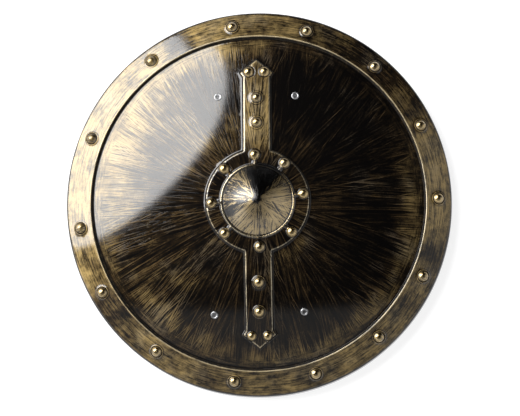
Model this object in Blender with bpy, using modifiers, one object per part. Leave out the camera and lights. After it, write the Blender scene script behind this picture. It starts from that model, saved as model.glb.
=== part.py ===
"""Round costume shield, 49 cm across, pressed from one thin plastic sheet.

The sheet has a turned-down skirt, a sloping raised rim, a domed field, a medallion of a ring and two
arrow-headed arms, a conical boss with a lip, and thirty studs. All that is raised on the face is hollow
behind. Four rivets hold a hand strap and a forearm strap across the back.

The shield lies face up on the cut edge of its skirt: +Z is up, +Y runs along the arms, and the origin is the
centre of the skirt's lower edge. Lengths are in metres and angles in degrees.
"""

import math

import bmesh
import bpy
from mathutils import Matrix, Vector
from mathutils.geometry import interpolate_bezier

# Sheet and its outer form
SHIELD_RADIUS = 0.245
WALL = 0.0015
SKIRT_HEIGHT = 0.017
SKIRT_DRAFT = 0.001
SHOULDER_RADIUS = 0.004
RIM_WIDTH = 0.033
RIM_SLOPE = 20.5
RIM_STEP = 0.0029
RIM_STEP_RUN = 0.0018
DOME_RADIUS = 0.76

# Medallion: the ring, and the arms above and below it
RELIEF = 0.0028
RING_RADIUS = 0.0664
ARM_WIDTH = 0.037
HEAD_WIDTH = 0.0452
HEAD_LENGTH = 0.0188
BARB_LENGTH = 0.0065
UPPER_ARM_REACH = 0.1825
LOWER_ARM_REACH = 0.1858

# Boss and its lip
LIP_RADIUS = 0.0473
LIP_WIDTH = 0.0039
LIP_HEIGHT = 0.0026
GUTTER_DEPTH = 0.0011
BEAD_CREST = 0.45
BEAD_SHOULDER = 0.80
BEAD_SHOULDER_DROP = 0.0004
BOSS_HEIGHT = 0.0247
BOSS_CURVE = 1.5
BOSS_RING_SPACING = 1.3

# Studs: dome radius and height, and the flat foot under the larger ones
RIM_STUD_RADIUS = 0.0068
RIM_STUD_HEIGHT = 0.0052
RIM_STUD_INSET = 0.018
RING_STUD_RADIUS = 0.0070
RING_STUD_HEIGHT = 0.0052
RING_STUD_INSET = 0.0086
INLINE_STUD_RADIUS = 0.0066
INLINE_STUD_HEIGHT = 0.0050
UPPER_PAIR_RADIUS = 0.0069
LOWER_PAIR_RADIUS = 0.0061
PAIR_STUD_HEIGHT = 0.0046
PAIR_SPREAD = 0.0200
PAIR_OUTSET = 0.0008
FOOT_WIDTH = 0.0023
FOOT_HEIGHT = 0.0010

# Where the studs sit: angles from +X, and steps inboard from each arm's pair
RIM_STUD_ANGLES = (0.5, 24.7, 48.8, 73.6, 97.8, 126.2, 157.9, 187.1, 209.0, 234.8, 261.5, 287.7, 311.0, 335.0)
RING_STUD_ANGLES = (7.8, 53.7, 93.1, 135.4, 182.0, 223.9, 271.9, 317.0)
UPPER_INLINE_STEPS = (0.0341, 0.0658)
LOWER_INLINE_STEPS = (0.0299, 0.0663)

# Rivets and straps
RIVET_HEAD_RADIUS = 0.0048
RIVET_HEAD_HEIGHT = 0.0009
RIVET_HEAD_EDGE = 0.0003
RIVET_SHANK_RADIUS = 0.0020
UPPER_STRAP_PLACE = 0.1334
UPPER_STRAP_SPAN = 0.0974
UPPER_STRAP_DROP = 0.033
UPPER_STRAP_SLANT = 0.0
LOWER_STRAP_PLACE = -0.1406
LOWER_STRAP_SPAN = 0.1126
LOWER_STRAP_DROP = 0.034
LOWER_STRAP_SLANT = 1.3
STRAP_WIDTH = 0.025
STRAP_THICKNESS = 0.0016
STRAP_TAB = 0.012
STRAP_EASE = 0.78
STRAP_FULLNESS = 0.95
RIVET_GAP = 0.0003
STRAP_GAP = 0.0005

# Facets
SHELL_SEGMENTS = 56
STUD_SEGMENTS = 8
DIMPLE_SEGMENTS = 6
RIVET_SEGMENTS = 10
FIELD_RINGS = 5
BOSS_RINGS = 5
RING_ARC_STEPS = 14
ARM_STEPS = 4
STRAP_BENDS = 9
MERGE = 0.00001

# Heights that follow from the form
slope = math.radians(RIM_SLOPE)
crest_radius = SHIELD_RADIUS - RIM_WIDTH
shoulder_centre = Vector((SHIELD_RADIUS - SKIRT_DRAFT - SHOULDER_RADIUS, SKIRT_HEIGHT))
shoulder_end = shoulder_centre + SHOULDER_RADIUS * Vector((math.sin(slope), math.cos(slope)))
crest_height = shoulder_end.y + (shoulder_end.x - crest_radius) * math.tan(slope)
field_radius = crest_radius - RIM_STEP_RUN
field_edge_height = crest_height - RIM_STEP
dome_centre = field_edge_height - math.sqrt(DOME_RADIUS ** 2 - field_radius ** 2)
boss_radius = LIP_RADIUS - LIP_WIDTH


def dome_height(x, y=0.0):
    """Height of the domed field at a place in plan."""
    return dome_centre + math.sqrt(DOME_RADIUS ** 2 - x ** 2 - y ** 2)


def clear_scene():
    for thing in list(bpy.data.objects):
        bpy.data.objects.remove(thing, do_unlink=True)


def new_collection(name):
    collection = bpy.data.collections.new(name)
    bpy.context.scene.collection.children.link(collection)
    return collection


def finish(name, colour, roughness, metallic):
    """A plain painted, metal or fabric finish."""
    material = bpy.data.materials.new(name)
    material.use_nodes = True
    shader = material.node_tree.nodes["Principled BSDF"]
    shader.inputs["Base Color"].default_value = (*colour, 1.0)
    shader.inputs["Roughness"].default_value = roughness
    shader.inputs["Metallic"].default_value = metallic
    material.diffuse_color = (*colour, 1.0)
    return material


def add_object(name, mesh, collection, material=None, place=None):
    thing = bpy.data.objects.new(name, mesh)
    collection.objects.link(thing)
    if material:
        mesh.materials.append(material)
    if place:
        thing.matrix_world = place
    return thing


def as_guide(thing):
    """Mark an object as one that only cuts or joins."""
    thing.hide_render = True
    thing.display_type = "WIRE"
    return thing


def turned(name, profile, segments, collection, material=None, place=None):
    """A turned solid: the profile runs down its outer side and is spun about Z."""
    mesh = bpy.data.meshes.new(name)
    points = [(r, 0.0, z) for r, z in profile]
    edges = [(k, k + 1) for k in range(len(points) - 1)]
    mesh.from_pydata(points, edges, [])
    thing = add_object(name, mesh, collection, material, place)
    screw = thing.modifiers.new("spin", "SCREW")
    screw.steps = segments
    screw.render_steps = segments
    screw.use_merge_vertices = True
    screw.merge_threshold = MERGE
    screw.use_smooth_shade = True
    return thing


def join_or_cut(thing, operation, collection):
    """Union with, or cut away, everything in a collection."""
    step = thing.modifiers.new(operation.lower(), "BOOLEAN")
    step.operation = operation
    step.solver = "EXACT"
    step.operand_type = "COLLECTION"
    step.collection = collection


def offset_line(points, distance, closed=False):
    """Move a chain of points to its right by a distance, with mitred corners."""
    count = len(points)
    moved = []
    for k, point in enumerate(points):
        before = points[(k - 1) % count]
        after = points[(k + 1) % count]
        directions = []
        if closed or k > 0:
            directions.append((Vector(point) - Vector(before)).normalized())
        if closed or k < count - 1:
            directions.append((Vector(after) - Vector(point)).normalized())
        normals = [Vector((d.y, -d.x)) for d in directions]
        middle = sum(normals, Vector((0.0, 0.0))).normalized()
        moved.append(Vector(point) + middle * distance / middle.dot(normals[0]))
    return moved


def face_line(with_bead):
    """Half section of the face, from the boss's tip down to the skirt's cut edge."""
    ring_top = dome_height(LIP_RADIUS) + RELIEF
    lip_top = ring_top + LIP_HEIGHT
    gutter = lip_top - GUTTER_DEPTH
    line = []
    for k in range(BOSS_RINGS + 1):
        share = (k / BOSS_RINGS) ** BOSS_RING_SPACING
        line.append((boss_radius * share, gutter + BOSS_HEIGHT * (1.0 - share ** BOSS_CURVE)))
    if with_bead:
        line.append((boss_radius + BEAD_CREST * LIP_WIDTH, lip_top))
        line.append((boss_radius + BEAD_SHOULDER * LIP_WIDTH, lip_top - BEAD_SHOULDER_DROP))
    else:
        line.append((LIP_RADIUS, gutter))
    for k in range(FIELD_RINGS + 1):
        radius = LIP_RADIUS + (field_radius - LIP_RADIUS) * k / FIELD_RINGS
        line.append((radius, dome_height(radius)))
    line.append((crest_radius, crest_height))
    for share in (1.0, 0.5, 0.0):
        turn = (math.pi / 2 - slope) * share
        spoke = Vector((math.cos(turn), math.sin(turn)))
        line.append(tuple(shoulder_centre + SHOULDER_RADIUS * spoke))
    line.append((SHIELD_RADIUS, 0.0))
    return line


def back_line():
    """Half section of the hollow: the face moved inwards by the wall, and open below the cut edge."""
    line = [tuple(point) for point in offset_line(face_line(with_bead=False), WALL)]
    tip_height = line[0][1]
    foot_radius = line[-1][0]
    return [(0.0, tip_height)] + line[1:-1] + [(foot_radius, -WALL), (0.0, -WALL)]


def arm_outline(reach, side):
    """Outline of one arm, from the ring on its right hand, round its arrow head, and back to the ring."""
    corner = reach - HEAD_LENGTH
    neck = corner - BARB_LENGTH
    root = math.sqrt(RING_RADIUS ** 2 - (ARM_WIDTH / 2) ** 2)
    edge = [(ARM_WIDTH / 2, root + (neck - root) * k / ARM_STEPS) for k in range(ARM_STEPS + 1)]
    half = edge + [(HEAD_WIDTH / 2, corner)]
    outline = half + [(0.0, reach)] + [(-x, y) for x, y in reversed(half)]
    return [(x * side, y * side) for x, y in outline]


def medallion_outline():
    """The foot of the medallion in plan, counter-clockwise: both arms joined by the ring's two arcs."""
    half_gap = math.asin(ARM_WIDTH / 2 / RING_RADIUS)
    outline = []
    for side, reach in ((1.0, UPPER_ARM_REACH), (-1.0, LOWER_ARM_REACH)):
        outline += arm_outline(reach, side)
        start = math.pi / 2 * side + half_gap
        sweep = math.pi - 2 * half_gap
        for k in range(1, RING_ARC_STEPS):
            turn = start + sweep * k / RING_ARC_STEPS
            outline.append((RING_RADIUS * math.cos(turn), RING_RADIUS * math.sin(turn)))
    return outline


def add_medallion(name, inset, collection):
    """A plate with sloping edges laid on the dome. The inset makes the smaller one that hollows its back."""
    slope_run = RELIEF + inset * math.tan(math.pi / 8)
    top = offset_line(medallion_outline(), -slope_run, closed=True)
    turns = [math.tau * k / RING_ARC_STEPS for k in range(RING_ARC_STEPS)]
    hole = [(boss_radius * math.cos(turn), boss_radius * math.sin(turn)) for turn in turns]
    chamfer = RELIEF + inset
    half_side = RELIEF
    curve = bpy.data.curves.new(name, "CURVE")
    curve.dimensions = "2D"
    curve.fill_mode = "BOTH"
    curve.extrude = half_side
    curve.bevel_depth = chamfer
    curve.bevel_resolution = 0
    for points in (top, hole):
        spline = curve.splines.new("POLY")
        spline.points.add(len(points) - 1)
        for spot, (x, y) in zip(spline.points, points):
            spot.co = (x, y, 0.0, 1.0)
        spline.use_cyclic_u = True
    outline = bpy.data.objects.new(name + "_outline", curve)
    collection.objects.link(outline)
    graph = bpy.context.evaluated_depsgraph_get()
    mesh = bpy.data.meshes.new_from_object(outline.evaluated_get(graph))
    place = outline.matrix_world.copy()
    bpy.data.objects.remove(outline, do_unlink=True)
    shape = bmesh.new()
    shape.from_mesh(mesh)
    bmesh.ops.remove_doubles(shape, verts=shape.verts, dist=MERGE)
    bmesh.ops.triangulate(shape, faces=shape.faces)
    lift = RELIEF - inset - half_side - chamfer
    for corner in shape.verts:
        corner.co.z += dome_height(corner.co.x, corner.co.y) + lift
    shape.to_mesh(mesh)
    shape.free()
    return as_guide(add_object(name, mesh, collection, place=place))


def stud_dome(radius, height, base, shares):
    """Points down a round cap, at shares of the way from its top to its edge."""
    curve_radius = (radius ** 2 + height ** 2) / (2 * height)
    half_turn = math.asin(min(1.0, radius / curve_radius))
    drop = base + height - curve_radius
    return [(curve_radius * math.sin(half_turn * share), drop + curve_radius * math.cos(half_turn * share))
            for share in shares]


def stud_profile(radius, height, foot_width):
    """Half section of a low round stud, on a flat foot where it has one, with a root sunk in the sheet."""
    if not foot_width:
        return stud_dome(radius, height, 0.0, (0.0, 0.5, 0.82, 1.0)) + [(radius, -WALL), (0.0, -WALL)]
    foot_radius = radius + foot_width
    foot = [(foot_radius - FOOT_HEIGHT, FOOT_HEIGHT), (foot_radius, -WALL), (0.0, -WALL)]
    return stud_dome(radius, height, FOOT_HEIGHT, (0.0, 0.5, 0.82, 1.0)) + foot


def dimple_profile(radius, height):
    """Half section of the hollow behind a stud, one wall inside its face."""
    inner_radius = radius - WALL
    dome = stud_dome(inner_radius, height, -WALL, (0.0, 0.6, 1.0))
    return dome + [(inner_radius, -2 * WALL), (0.0, -2 * WALL)]


def seat_on_dome(x, y, level):
    """Place on the dome, a level above it, with Z along the dome's own normal."""
    centre = Vector((0.0, 0.0, dome_centre))
    normal = (Vector((x, y, dome_height(x, y))) - centre).normalized()
    turn = Vector((0.0, 0.0, 1.0)).rotation_difference(normal).to_matrix().to_4x4()
    return Matrix.Translation(centre + normal * (DOME_RADIUS + level)) @ turn


def seat_on_rim(angle):
    """Place on the sloping rim, with Z along its normal."""
    radius = SHIELD_RADIUS - RIM_STUD_INSET
    height = crest_height - (radius - crest_radius) * math.tan(slope)
    spin = Matrix.Rotation(math.radians(angle), 4, "Z")
    return spin @ Matrix.Translation((radius, 0.0, height)) @ Matrix.Rotation(slope, 4, "Y")


def stud_places():
    """Every stud: its name, seat, radius, height and foot width."""
    studs = []
    for k, angle in enumerate(RIM_STUD_ANGLES):
        studs.append((f"rim_{k + 1}", seat_on_rim(angle), RIM_STUD_RADIUS, RIM_STUD_HEIGHT, FOOT_WIDTH))
    for k, angle in enumerate(RING_STUD_ANGLES):
        reach = RING_RADIUS - RING_STUD_INSET
        turn = math.radians(angle)
        seat = seat_on_dome(reach * math.cos(turn), reach * math.sin(turn), RELIEF)
        studs.append((f"ring_{k + 1}", seat, RING_STUD_RADIUS, RING_STUD_HEIGHT, 0.0))
    arms = (("upper", 1.0, UPPER_ARM_REACH, UPPER_PAIR_RADIUS, UPPER_INLINE_STEPS),
            ("lower", -1.0, LOWER_ARM_REACH, LOWER_PAIR_RADIUS, LOWER_INLINE_STEPS))
    for arm, side, reach, pair_radius, steps in arms:
        pair_line = reach - HEAD_LENGTH + PAIR_OUTSET
        for k, x in enumerate((-PAIR_SPREAD / 2, PAIR_SPREAD / 2)):
            seat = seat_on_dome(x, side * pair_line, RELIEF)
            studs.append((f"{arm}_pair_{k + 1}", seat, pair_radius, PAIR_STUD_HEIGHT, 0.0))
        for k, step in enumerate(steps):
            seat = seat_on_dome(0.0, side * (pair_line - step), RELIEF)
            studs.append((f"{arm}_inline_{k + 1}", seat, INLINE_STUD_RADIUS, INLINE_STUD_HEIGHT, FOOT_WIDTH))
    return studs


def strap_frame(place, slant):
    """Frame at the dome's centre whose Z points at the middle of a strap and X runs along the strap."""
    lean = -math.asin(place / DOME_RADIUS)
    turn = Matrix.Rotation(lean, 4, "X") @ Matrix.Rotation(math.radians(slant), 4, "Z")
    return Matrix.Translation((0.0, 0.0, dome_centre)) @ turn


def rivet_frames(place, span, slant):
    """Seats of a strap's two rivets on the face of the sheet, left and right."""
    frame = strap_frame(place, slant)
    half_angle = math.asin(span / 2 / DOME_RADIUS)
    return [frame @ Matrix.Rotation(side * half_angle, 4, "Y") @ Matrix.Translation((0.0, 0.0, DOME_RADIUS))
            for side in (-1.0, 1.0)]


def add_rivet_hole(name, seat, collection):
    """A round cutter along a rivet, through the sheet and the strap."""
    reach = WALL + STRAP_GAP + STRAP_THICKNESS
    radius = RIVET_SHANK_RADIUS + RIVET_GAP
    profile = [(0.0, reach), (radius, reach), (radius, -2 * reach), (0.0, -2 * reach)]
    return as_guide(turned(name, profile, RIVET_SEGMENTS, collection, place=seat))


def rivet_profile():
    """Half section of a set rivet: low front head, shank, and the head formed behind the strap."""
    front = RIVET_GAP
    back = -(WALL + STRAP_GAP + STRAP_THICKNESS + RIVET_GAP)
    flat_radius = RIVET_HEAD_RADIUS - RIVET_HEAD_HEIGHT
    return [(0.0, front + RIVET_HEAD_HEIGHT),
            (flat_radius, front + RIVET_HEAD_HEIGHT),
            (RIVET_HEAD_RADIUS, front + RIVET_HEAD_EDGE),
            (RIVET_HEAD_RADIUS, front),
            (RIVET_SHANK_RADIUS, front),
            (RIVET_SHANK_RADIUS, back),
            (RIVET_HEAD_RADIUS, back),
            (flat_radius, back - RIVET_HEAD_HEIGHT),
            (0.0, back - RIVET_HEAD_HEIGHT)]


def strap_path(span, drop):
    """Middle line of a strap as distance along the dome and depth under it: tab, loop, tab."""
    inner = span / 2 - STRAP_TAB
    half = [(span / 2 + STRAP_TAB, 0.0), (span / 2, 0.0)]
    start = Vector((inner, 0.0))
    middle = Vector((0.0, drop))
    bend_out = Vector((STRAP_EASE * inner, 0.0))
    bend_in = Vector((STRAP_FULLNESS * inner, drop))
    half += [tuple(p) for p in interpolate_bezier(start, bend_out, bend_in, middle, STRAP_BENDS)]
    return half + [(-x, depth) for x, depth in reversed(half[:-1])]


def add_strap(name, place, span, drop, slant, collection, holes, material):
    """A webbing strap: an open ribbon along its path, given its thickness and pierced for its rivets."""
    centre_radius = DOME_RADIUS - WALL - STRAP_GAP - STRAP_THICKNESS / 2
    corners = []
    for along, depth in strap_path(span, drop):
        turn = along / centre_radius
        radius = centre_radius - depth
        for side in (-0.5, 0.5):
            corners.append((radius * math.sin(turn), side * STRAP_WIDTH, radius * math.cos(turn)))
    faces = [(k, k + 2, k + 3, k + 1) for k in range(0, len(corners) - 2, 2)]
    mesh = bpy.data.meshes.new(name)
    mesh.from_pydata(corners, [], faces)
    strap = add_object(name, mesh, collection, material, strap_frame(place, slant))
    thicken = strap.modifiers.new("thickness", "SOLIDIFY")
    thicken.thickness = STRAP_THICKNESS
    thicken.offset = 0.0
    thicken.use_even_offset = True
    join_or_cut(strap, "DIFFERENCE", holes)
    mesh.shade_smooth()
    mesh.set_sharp_from_angle(angle=math.radians(40))
    return strap


def build_shield():
    clear_scene()
    shield = new_collection("round_shield")
    raised = new_collection("raised_work")
    hollows = new_collection("hollows")
    holes = new_collection("rivet_holes")
    gilt = finish("antique_gilt_on_black", (0.16, 0.12, 0.06), 0.35, 0.6)
    steel = finish("rivet_metal", (0.62, 0.60, 0.57), 0.35, 1.0)
    webbing = finish("black_webbing", (0.02, 0.02, 0.022), 0.85, 0.0)

    shell = turned("shield_shell", face_line(with_bead=True) + [(0.0, 0.0)], SHELL_SEGMENTS, shield, gilt)
    add_medallion("medallion", 0.0, raised)
    as_guide(turned("hollow", back_line(), SHELL_SEGMENTS, hollows))
    add_medallion("medallion_hollow", WALL, hollows)
    for name, seat, radius, height, foot_width in stud_places():
        profile = stud_profile(radius, height, foot_width)
        as_guide(turned("stud_" + name, profile, STUD_SEGMENTS, raised, place=seat))
        hollow = dimple_profile(radius, height)
        as_guide(turned("dimple_" + name, hollow, DIMPLE_SEGMENTS, hollows, place=seat))

    straps = (("upper", UPPER_STRAP_PLACE, UPPER_STRAP_SPAN, UPPER_STRAP_DROP, UPPER_STRAP_SLANT),
              ("lower", LOWER_STRAP_PLACE, LOWER_STRAP_SPAN, LOWER_STRAP_DROP, LOWER_STRAP_SLANT))
    for where, place, span, drop, slant in straps:
        add_strap("strap_" + where, place, span, drop, slant, shield, holes, webbing)
        for side, seat in zip(("left", "right"), rivet_frames(place, span, slant)):
            turned(f"rivet_{where}_{side}", rivet_profile(), RIVET_SEGMENTS, shield, steel, seat)
            add_rivet_hole(f"hole_{where}_{side}", seat, holes)

    join_or_cut(shell, "UNION", raised)
    join_or_cut(shell, "DIFFERENCE", hollows)
    join_or_cut(shell, "DIFFERENCE", holes)


build_shield()
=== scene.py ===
"""Looks of the round costume shield: one thin sheet pressed over a mould and painted gold over gloss black,
with four rivets and two straps. Metres, +Z up, the face towards +Z and the arms along Y.
"""

import math

import bpy
import numpy as np
from mathutils import Matrix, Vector
from mathutils.geometry import delaunay_2d_cdt


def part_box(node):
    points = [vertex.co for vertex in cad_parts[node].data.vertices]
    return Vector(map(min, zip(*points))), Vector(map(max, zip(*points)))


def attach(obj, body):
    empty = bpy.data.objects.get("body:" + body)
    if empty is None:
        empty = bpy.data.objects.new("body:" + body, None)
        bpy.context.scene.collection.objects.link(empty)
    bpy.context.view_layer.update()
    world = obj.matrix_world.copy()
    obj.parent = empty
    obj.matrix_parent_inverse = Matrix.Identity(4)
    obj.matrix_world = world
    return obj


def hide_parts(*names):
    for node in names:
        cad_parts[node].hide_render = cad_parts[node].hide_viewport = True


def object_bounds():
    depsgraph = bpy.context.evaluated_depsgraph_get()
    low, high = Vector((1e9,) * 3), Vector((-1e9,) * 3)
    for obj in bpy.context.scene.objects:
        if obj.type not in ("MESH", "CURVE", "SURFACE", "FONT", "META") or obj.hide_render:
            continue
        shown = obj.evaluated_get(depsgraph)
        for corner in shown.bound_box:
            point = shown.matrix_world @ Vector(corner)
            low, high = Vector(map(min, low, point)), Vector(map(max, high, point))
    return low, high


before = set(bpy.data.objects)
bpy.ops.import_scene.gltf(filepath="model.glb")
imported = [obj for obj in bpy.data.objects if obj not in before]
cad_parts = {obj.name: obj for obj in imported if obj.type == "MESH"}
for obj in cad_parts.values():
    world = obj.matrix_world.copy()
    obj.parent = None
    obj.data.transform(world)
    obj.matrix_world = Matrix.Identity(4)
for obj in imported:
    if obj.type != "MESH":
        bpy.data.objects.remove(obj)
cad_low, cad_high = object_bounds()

# The sheet: a disc of black plastic 1.5 mm thick, heated and drawn over a mould. It has a domed field, a step
# up to a sloping rim, a rounded shoulder and a turned-down skirt whose cut edge lies on the floor.
BOX_MARGIN = 0.00001
SHIELD_RADIUS = cad_high.x - BOX_MARGIN
WALL = 0.0015
SKIRT_HEIGHT = 0.017
SKIRT_DRAFT = 0.001
SHOULDER_RADIUS = 0.004
RIM_WIDTH = 0.033
RIM_SLOPE = math.radians(20.5)
RIM_STEP = 0.0029
RIM_STEP_RUN = 0.0030
STEP_BLEND = 0.0006
DOME_RADIUS = 0.76

crest_radius = SHIELD_RADIUS - RIM_WIDTH
shoulder_radius = SHIELD_RADIUS - SKIRT_DRAFT - SHOULDER_RADIUS
slope_end = shoulder_radius + SHOULDER_RADIUS * math.sin(RIM_SLOPE)
slope_end_height = SKIRT_HEIGHT + SHOULDER_RADIUS * math.cos(RIM_SLOPE)
crest_height = slope_end_height + (slope_end - crest_radius) * math.tan(RIM_SLOPE)
field_radius = crest_radius - RIM_STEP_RUN
dome_centre = crest_height - RIM_STEP - math.sqrt(DOME_RADIUS ** 2 - field_radius ** 2)


def smooth(value, low, high):
    """Rises from 0 at low to 1 at high along the curve 3t^2 - 2t^3."""
    t = np.clip((value - low) / (high - low), 0.0, 1.0)
    return t * t * (3.0 - 2.0 * t)


def dome_height(radius):
    """Height of the domed field: the dome's centre plus the root of R^2 - r^2."""
    return dome_centre + np.sqrt(DOME_RADIUS ** 2 - radius ** 2)


def sheet_line(slope_samples=1500, shoulder_samples=60, skirt_samples=40):
    """Half section of the face as radius and height, from the middle to the cut edge. Up to the shoulder the
    height is the dome blended into the rim's slope across the step, then come the shoulder's arc
    (centre + R sin a, centre + R cos a) and the straight skirt."""
    radius = np.linspace(0.0, slope_end, slope_samples)
    rim_height = crest_height - (radius - crest_radius) * math.tan(RIM_SLOPE)
    share = smooth(radius, field_radius - STEP_BLEND, crest_radius + STEP_BLEND)
    height = dome_height(radius) * (1.0 - share) + rim_height * share
    turn = np.linspace(RIM_SLOPE, math.pi / 2, shoulder_samples)[1:]
    down = np.linspace(0.0, 1.0, skirt_samples)[1:]
    shoulder_height = SKIRT_HEIGHT + SHOULDER_RADIUS * np.cos(turn)
    radius = np.concatenate((radius, shoulder_radius + SHOULDER_RADIUS * np.sin(turn),
                             SHIELD_RADIUS - SKIRT_DRAFT * (1.0 - down)))
    height = np.concatenate((height, shoulder_height, SKIRT_HEIGHT * (1.0 - down)))
    return radius, height


line_radius, line_height = sheet_line()
run = np.hypot(np.diff(line_radius), np.diff(line_height))
past_slope = line_radius[1:] > slope_end
line_reach = np.concatenate(((0.0,), np.cumsum(np.where(past_slope, run, np.diff(line_radius)))))
line_lean = np.arctan2(-np.gradient(line_height), np.gradient(line_radius))
edge_reach = line_reach[-1]


def on_sheet(reach, turn, lift, upright):
    """Place at a reach along the half section and a turn about Z, raised by a lift. The lift follows the
    sheet's own normal (sin lean, cos lean), or +Z where upright is 1."""
    lean = np.interp(reach, line_reach, line_lean) * (1.0 - upright)
    radius = np.interp(reach, line_reach, line_radius) + lift * np.sin(lean)
    height = np.interp(reach, line_reach, line_height) + lift * np.cos(lean)
    return np.stack((radius * np.cos(turn), radius * np.sin(turn), np.maximum(height, 0.0)), axis=1)


# The medallion: a flat raised ring round the boss, and two raised arms that end in arrow heads. It is pressed
# in the same sheet, with edges that slope at about 45 degrees and soft corners.
RELIEF = 0.0028
EDGE_RUN = 0.0029
EDGE_SOFTNESS = 0.16
RING_RADIUS = 0.0664
ARM_HALF_WIDTH = 0.0185
HEAD_HALF_WIDTH = 0.0226
HEAD_LENGTH = 0.0188
BARB_LENGTH = 0.0065
UPPER_REACH = 0.1825
LOWER_REACH = 0.1858
FILLET = 0.0010


def soft_max(a, b, blend):
    """The larger of two heights, with a rounded corner between: half of a + b + root of ((a - b)^2 + k^2)."""
    return 0.5 * (a + b + np.sqrt((a - b) ** 2 + blend ** 2))


def unit(vector):
    """The direction of a vector, with length 1."""
    return np.array(vector) / np.linalg.norm(vector)


TIP_NORMAL = unit((HEAD_LENGTH, HEAD_HALF_WIDTH))
BARB_NORMAL = unit((BARB_LENGTH, ARM_HALF_WIDTH - HEAD_HALF_WIDTH))


def medallion_depth(x, y):
    """How far a place lies inside the medallion's foot line, negative outside. It is the rounded union of the
    ring's disc and, on each arm, a bar and an arrow head, each being the least distance to its own sides."""
    side = np.abs(x)
    along = np.abs(y)
    corner = np.where(y > 0.0, UPPER_REACH, LOWER_REACH) - HEAD_LENGTH
    disc = RING_RADIUS - np.hypot(x, y)
    bar = np.minimum(ARM_HALF_WIDTH - side, corner - along)
    tip = (HEAD_HALF_WIDTH - side) * TIP_NORMAL[0] + (corner - along) * TIP_NORMAL[1]
    barb = (HEAD_HALF_WIDTH - side) * BARB_NORMAL[0] + (corner - along) * BARB_NORMAL[1]
    head = np.minimum(np.minimum(tip, barb), along - corner + BARB_LENGTH)
    return soft_max(soft_max(disc, bar, FILLET), head, FILLET / 2)


def ramp(share, softness=EDGE_SOFTNESS):
    """Climbs from 0 to 1 as the share goes from 0 to 1, straight between rounded ends."""
    return 0.5 * (1.0 + np.sqrt(share ** 2 + softness ** 2) - np.sqrt((share - 1.0) ** 2 + softness ** 2))


def meet(normal_a, offset_a, normal_b, offset_b):
    """Where two lines meet, each given by its unit normal and its distance from the origin."""
    return np.linalg.solve(np.array((normal_a, normal_b)), np.array((offset_a, offset_b)))


def circle(turn):
    """Points of the unit circle, (cos turn, sin turn)."""
    return np.stack((np.cos(turn), np.sin(turn)), axis=1)


def spaced(start, end, step):
    """Points along a straight run at about a given step, without its last one."""
    count = max(1, int(round(np.linalg.norm(np.subtract(end, start)) / step)))
    share = np.arange(count)[:, None] / count
    return np.array(start) * (1.0 - share) + np.array(end) * share


def medallion_row(inset, step):
    """Points all round the medallion on a line set in from its foot line, with mitred corners: up one side of
    each arm, round its head, back down, and along the ring's arc to the other arm."""
    ring = RING_RADIUS - inset
    half = ARM_HALF_WIDTH - inset
    root = (half, math.sqrt(ring ** 2 - half ** 2))
    runs = []
    for way, reach in ((1.0, UPPER_REACH), (-1.0, LOWER_REACH)):
        corner = (HEAD_HALF_WIDTH, reach - HEAD_LENGTH)
        tip_offset = TIP_NORMAL @ corner - inset
        barb_offset = BARB_NORMAL @ corner - inset
        neck = meet((1.0, 0.0), half, BARB_NORMAL, barb_offset)
        shoulder = meet(BARB_NORMAL, barb_offset, TIP_NORMAL, tip_offset)
        tip = meet(TIP_NORMAL, tip_offset, (1.0, 0.0), 0.0)
        right = (root, neck, shoulder, tip)
        corners = [np.array(c) for c in right] + [np.array(c) * (-1.0, 1.0) for c in right[-2::-1]]
        for start, end in zip(corners[:-1], corners[1:]):
            runs.append(spaced(start * way, end * way, step))
        first = math.atan2(root[1], -root[0])
        arc = math.atan2(-root[1], -root[0]) + math.tau - first
        count = int(round(arc * ring / step))
        turn = first + arc * np.arange(count) / count
        runs.append(ring * way * circle(turn))
    return np.concatenate(runs)


# The boss: a blunt cone in the middle of the ring with a rounded lip round its foot, drawn from the same
# sheet. Where a stud stands close to the lip, the hot sheet has bridged the gap with a thin web.
LIP_RADIUS = 0.0473
LIP_WIDTH = 0.0039
LIP_HEIGHT = 0.0026
LIP_CREST = 0.45
LIP_HALF_WIDTH = 0.0021
LIP_FILLET = 0.0004
GUTTER_DEPTH = 0.0011
GUTTER_FILLET = 0.0003
BOSS_HEIGHT = 0.02468
BOSS_CURVE = 1.5
BOSS_INSET = 0.36
WEB_HALF_WIDTH = 0.0019
WEB_FLARE = 0.0022
WEB_HEIGHT = 0.0021
WEB_FULLNESS = 1.4
WEB_TAPER = 0.6
WEB_FILLET = 0.0005
WEB_MIDDLE = 0.0508
WEB_HALF_LENGTH = 0.0058
WEB_SHARES = (1.0, 1.0, 0.9, 0.8, 1.0, 0.8, 0.0, 0.6)

boss_radius = LIP_RADIUS - LIP_WIDTH
lip_top = dome_height(LIP_RADIUS) + RELIEF + LIP_HEIGHT


def boss_rise(radius, inset):
    """Height of the boss and its lip over the dome: the cone H (1 - (r/R)^1.5) from the gutter up, joined to
    a parabola for the lip. The inset makes the smaller one that hollows the back."""
    share = radius / (boss_radius - BOSS_INSET * inset)
    cone = lip_top - GUTTER_DEPTH + BOSS_HEIGHT * (1.0 - share ** BOSS_CURVE)
    crest = boss_radius + LIP_CREST * LIP_WIDTH
    lip_half = LIP_HALF_WIDTH - BOSS_INSET * inset
    lip = lip_top - LIP_HEIGHT * ((radius - crest) / lip_half) ** 2
    return np.maximum(soft_max(cone, lip, GUTTER_FILLET) - dome_height(radius), -LIP_HEIGHT)


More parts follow.
